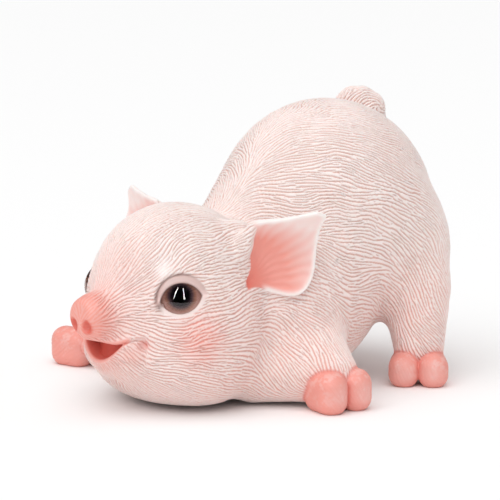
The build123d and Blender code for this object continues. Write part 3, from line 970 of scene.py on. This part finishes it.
dome_rim = dome_height(DOME_RADIUS)
dome_profile = [(r, dome_height(r)) for r in np.linspace(0, DOME_RADIUS, 15)]
dome_profile += [(DOME_RADIUS, dome_rim - 0.6), (DOME_RADIUS - 0.1, dome_rim - 0.7), (0, dome_rim - 0.7)]
disc_front = dome_rim - 0.65
disc_radius = DOME_RADIUS - 0.15
disc_profile = [(0, disc_front), (2, disc_front), (5, disc_front), (disc_radius - 0.15, disc_front)]
disc_profile += [(disc_radius, disc_front - 0.2), (disc_radius, disc_front - 1.0), (0, disc_front - 1.0)]

# %% [markdown]
# The dome is polished cast acrylic: clear, with an index of refraction of 1.49 and crisp reflections of the
# studio lights. The disc carries gloss enamel: a black pupil that fades into a grey-brown ring with fine
# radial streaks. The dome gives the gloss, so the disc itself has no highlight.

# %% Clear acrylic and the painted iris
clear_acrylic, tree = new_material("clear_cast_acrylic")
glass = add(tree, "ShaderNodeBsdfPrincipled", {
    "Base Color": linear("#FFFFFF"), "Roughness": 0.015, "IOR": 1.49, "Transmission Weight": 1.0,
})
add(tree, "ShaderNodeOutputMaterial", {"Surface": glass.outputs["BSDF"]})

IRIS_RADIUS = 6.8
STREAK_SCALE = 10.0
STREAK_REACH = 1.2
painted_iris, tree = new_material("gloss_enamel_iris")
local_place = add(tree, "ShaderNodeTexCoord").outputs["Object"]
pupil_middle = (0, PUPIL_RISE / 1000, 0)


def vector(operation, sockets, result=0):
    return add(tree, "ShaderNodeVectorMath", sockets, operation=operation).outputs[result]


from_pupil = vector("SUBTRACT", {0: local_place, 1: pupil_middle})
flat = vector("MULTIPLY", {0: from_pupil, 1: (1, 1, 0)})
distance = vector("LENGTH", {0: flat}, "Value")
direction = vector("NORMALIZE", {0: flat})
streaks = add(tree, "ShaderNodeTexNoise", {"Vector": direction, "Scale": STREAK_SCALE, "Detail": 2.0})
reach = add(tree, "ShaderNodeMath", {
    0: streaks.outputs["Fac"], 1: STREAK_REACH / 1000, 2: distance,
}, operation="MULTIPLY_ADD")
rings = add(tree, "ShaderNodeMapRange", {
    "Value": reach.outputs[0], "From Min": PUPIL_RADIUS / 1000, "From Max": IRIS_RADIUS / 1000,
})
ramp_node = add(tree, "ShaderNodeValToRGB", {"Fac": rings.outputs[0]})
stops = [(0.0, "#050404"), (0.25, "#181215"), (0.5, "#48383B"), (0.8, "#976A5B"), (1.0, "#B0857A")]
elements = ramp_node.color_ramp.elements
for position, _ in stops[1:-1]:
    elements.new(position)
for element, (position, code) in zip(elements, stops):
    element.position = position
    element.color = linear(code)
enamel = add(tree, "ShaderNodeBsdfPrincipled", {
    "Base Color": ramp_node.outputs["Color"], "Roughness": 0.5, "IOR": 1.5, "Specular IOR Level": 0.0,
})
add(tree, "ShaderNodeOutputMaterial", {"Surface": enamel.outputs["BSDF"]})

# %% [markdown]
# Both eyes come from the same profiles. The right one stands in the mirrored place; one of its axes is turned
# round again, because a mirrored frame would turn the mesh inside out.

# %% Set the eyes
for side in ("left", "right"):
    flip = np.float32([1, 1, 1]) if side == "left" else OTHER_SIDE
    across_eye, up_eye, out_eye = (EYE_AXES * flip[:, None]).T
    if side == "right":
        across_eye = -across_eye
    where = Matrix.Identity(4)
    for column, axis in enumerate((across_eye, up_eye, out_eye)):
        for row in range(3):
            where[row][column] = float(axis[row])
    where.translation = ORIGIN + Vector((EYE * flip / 1000).tolist())
    for part, profile, material, slot in (
        ("eye_dome", dome_profile, clear_acrylic, "clear_acrylic"),
        ("eye_iris", disc_profile, painted_iris, "painted_iris"),
    ):
        mesh = turned(f"{side}_{part}_turned", profile)
        mesh.materials.append(material)
        piece = bpy.data.objects.new(mesh.name, mesh)
        bpy.context.collection.objects.link(piece)
        piece.matrix_world = where
        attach(piece, "root")
        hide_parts(f"{side}_{part}")
print("eyes set")

# %% [markdown]
# The stopper under the belly keeps its CAD shape. It is a plug of unpainted resin: ivory, dull, with the
# faint cloudiness of filler.

# %% Raw resin stopper
raw_resin, tree = new_material("unpainted_cast_resin")
CLOUD_MM = 6
cloud = add(tree, "ShaderNodeTexNoise", {
    "Vector": add(tree, "ShaderNodeTexCoord").outputs["Object"], "Scale": 1000 / CLOUD_MM, "Detail": 3.0,
})
ivory = add(tree, "ShaderNodeMix", {
    MIX_FACTOR: cloud.outputs["Fac"], MIX_BELOW: linear("#E9DDCB"), MIX_ABOVE: linear("#D9C8B0"),
}, data_type="RGBA")
dull = add(tree, "ShaderNodeBsdfPrincipled", {
    "Base Color": ivory.outputs[MIX_RESULT], "Roughness": 0.62, "IOR": 1.52,
})
add(tree, "ShaderNodeOutputMaterial", {"Surface": dull.outputs["BSDF"]})
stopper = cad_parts["pour_hole_stopper"]
for slot in stopper.material_slots:
    slot.material = raw_resin

# %% [markdown]
# The studio: a pale floor, a broad soft light from above and two narrow upright softboxes, which show as two
# white strips in each eye.

# %% Floor
FLOOR_HALF = 4.0
floor_mesh = bpy.data.meshes.new("studio_floor")
signs = ((-1, -1), (1, -1), (1, 1), (-1, 1))
floor_corners = [(FLOOR_HALF * across, FLOOR_HALF * back, 0) for across, back in signs]
floor_mesh.from_pydata(floor_corners, [], [(0, 1, 2, 3)])
floor = bpy.data.objects.new("studio_floor", floor_mesh)
bpy.context.collection.objects.link(floor)
pale, tree = new_material("pale_paper_floor")
paper = add(tree, "ShaderNodeBsdfPrincipled", {
    "Base Color": linear("#FAFAFA"), "Roughness": 0.9, "IOR": 1.45,
})
add(tree, "ShaderNodeOutputMaterial", {"Surface": paper.outputs["BSDF"]})
floor_mesh.materials.append(pale)

# %% [markdown]
# The sky and the ceiling light the skin but are hidden from glossy rays, so the eyes stay dark. The strips
# are the other way round: they are there for their reflections, and are hidden from diffuse and transmission
# rays so that they neither light the skin nor haze the clear domes.

# %% Light
WORLD_STRENGTH = 0.6
CEILING_STRENGTH = 1.7
CEILING_SPREAD = 75  # degrees
CEILING_PLACE = (15, 66, 1.5)
STRIP_SIZE = (0.08, 0.9)
STRIP_WATTS = 5.4
world = bpy.data.worlds.new("studio")
world.use_nodes = True
world.node_tree.nodes["Background"].inputs["Color"].default_value = linear("#FFFFFF")
world.node_tree.nodes["Background"].inputs["Strength"].default_value = WORLD_STRENGTH
world.cycles_visibility.glossy = False
bpy.context.scene.world = world
bpy.context.scene.view_settings.view_transform = "Standard"

TARGET = ORIGIN + Vector((0, 0.01065, 0.055))


def round_from_front(azimuth, elevation, distance):
    """A place on a sphere about the target; angles in degrees, azimuth toward the piglet's left."""
    a, e = math.radians(azimuth), math.radians(elevation)
    way = Vector((math.sin(a) * math.cos(e), -math.cos(a) * math.cos(e), math.sin(e)))
    return TARGET + distance * way


def aim(thing, place):
    """Puts a light or camera in its place and turns it to the target."""
    thing.location = round_from_front(*place)
    thing.rotation_euler = (thing.location - TARGET).to_track_quat("Z", "Y").to_euler()


ceiling_lamp = bpy.data.lights.new("soft_ceiling", "SUN")
ceiling_lamp.energy = CEILING_STRENGTH
ceiling_lamp.angle = math.radians(CEILING_SPREAD)
ceiling = bpy.data.objects.new("soft_ceiling", ceiling_lamp)
bpy.context.collection.objects.link(ceiling)
ceiling.visible_glossy = False
aim(ceiling, CEILING_PLACE)
softboxes = {"left_strip_softbox": (14, 38, 0.95), "right_strip_softbox": (59, 38, 0.95)}
for name, place in softboxes.items():
    lamp = bpy.data.lights.new(name, "AREA")
    lamp.shape = "RECTANGLE"
    lamp.size, lamp.size_y = STRIP_SIZE
    lamp.energy = STRIP_WATTS
    light = bpy.data.objects.new(name, lamp)
    bpy.context.collection.objects.link(light)
    light.visible_diffuse = False
    light.visible_transmission = False
    aim(light, place)

# %% [markdown]
# The camera stands 46 degrees round to the piglet's left and 9.5 degrees up, as fitted to the photo. Its
# focal length follows from how many pixels a millimetre takes up at the target.

# %% Camera
CAMERA_AZIMUTH = 46
CAMERA_HEIGHT = 9.5
CAMERA_DISTANCE = 0.9
PIXELS_PER_MM = 2.3
PICTURE = 500
LENS_SHIFT = (-0.022, 0.016)
lens = bpy.data.cameras.new("photo_camera")
lens.sensor_width = 36
lens.lens = lens.sensor_width * PIXELS_PER_MM * CAMERA_DISTANCE * 1000 / PICTURE
lens.shift_x, lens.shift_y = LENS_SHIFT
camera = bpy.data.objects.new("photo_camera", lens)
bpy.context.collection.objects.link(camera)
aim(camera, (CAMERA_AZIMUTH, CAMERA_HEIGHT, CAMERA_DISTANCE))
bpy.context.scene.camera = camera

# %% [markdown]
# Last, the scene is brought up to date.

# %% The end
bpy.context.view_layer.update()
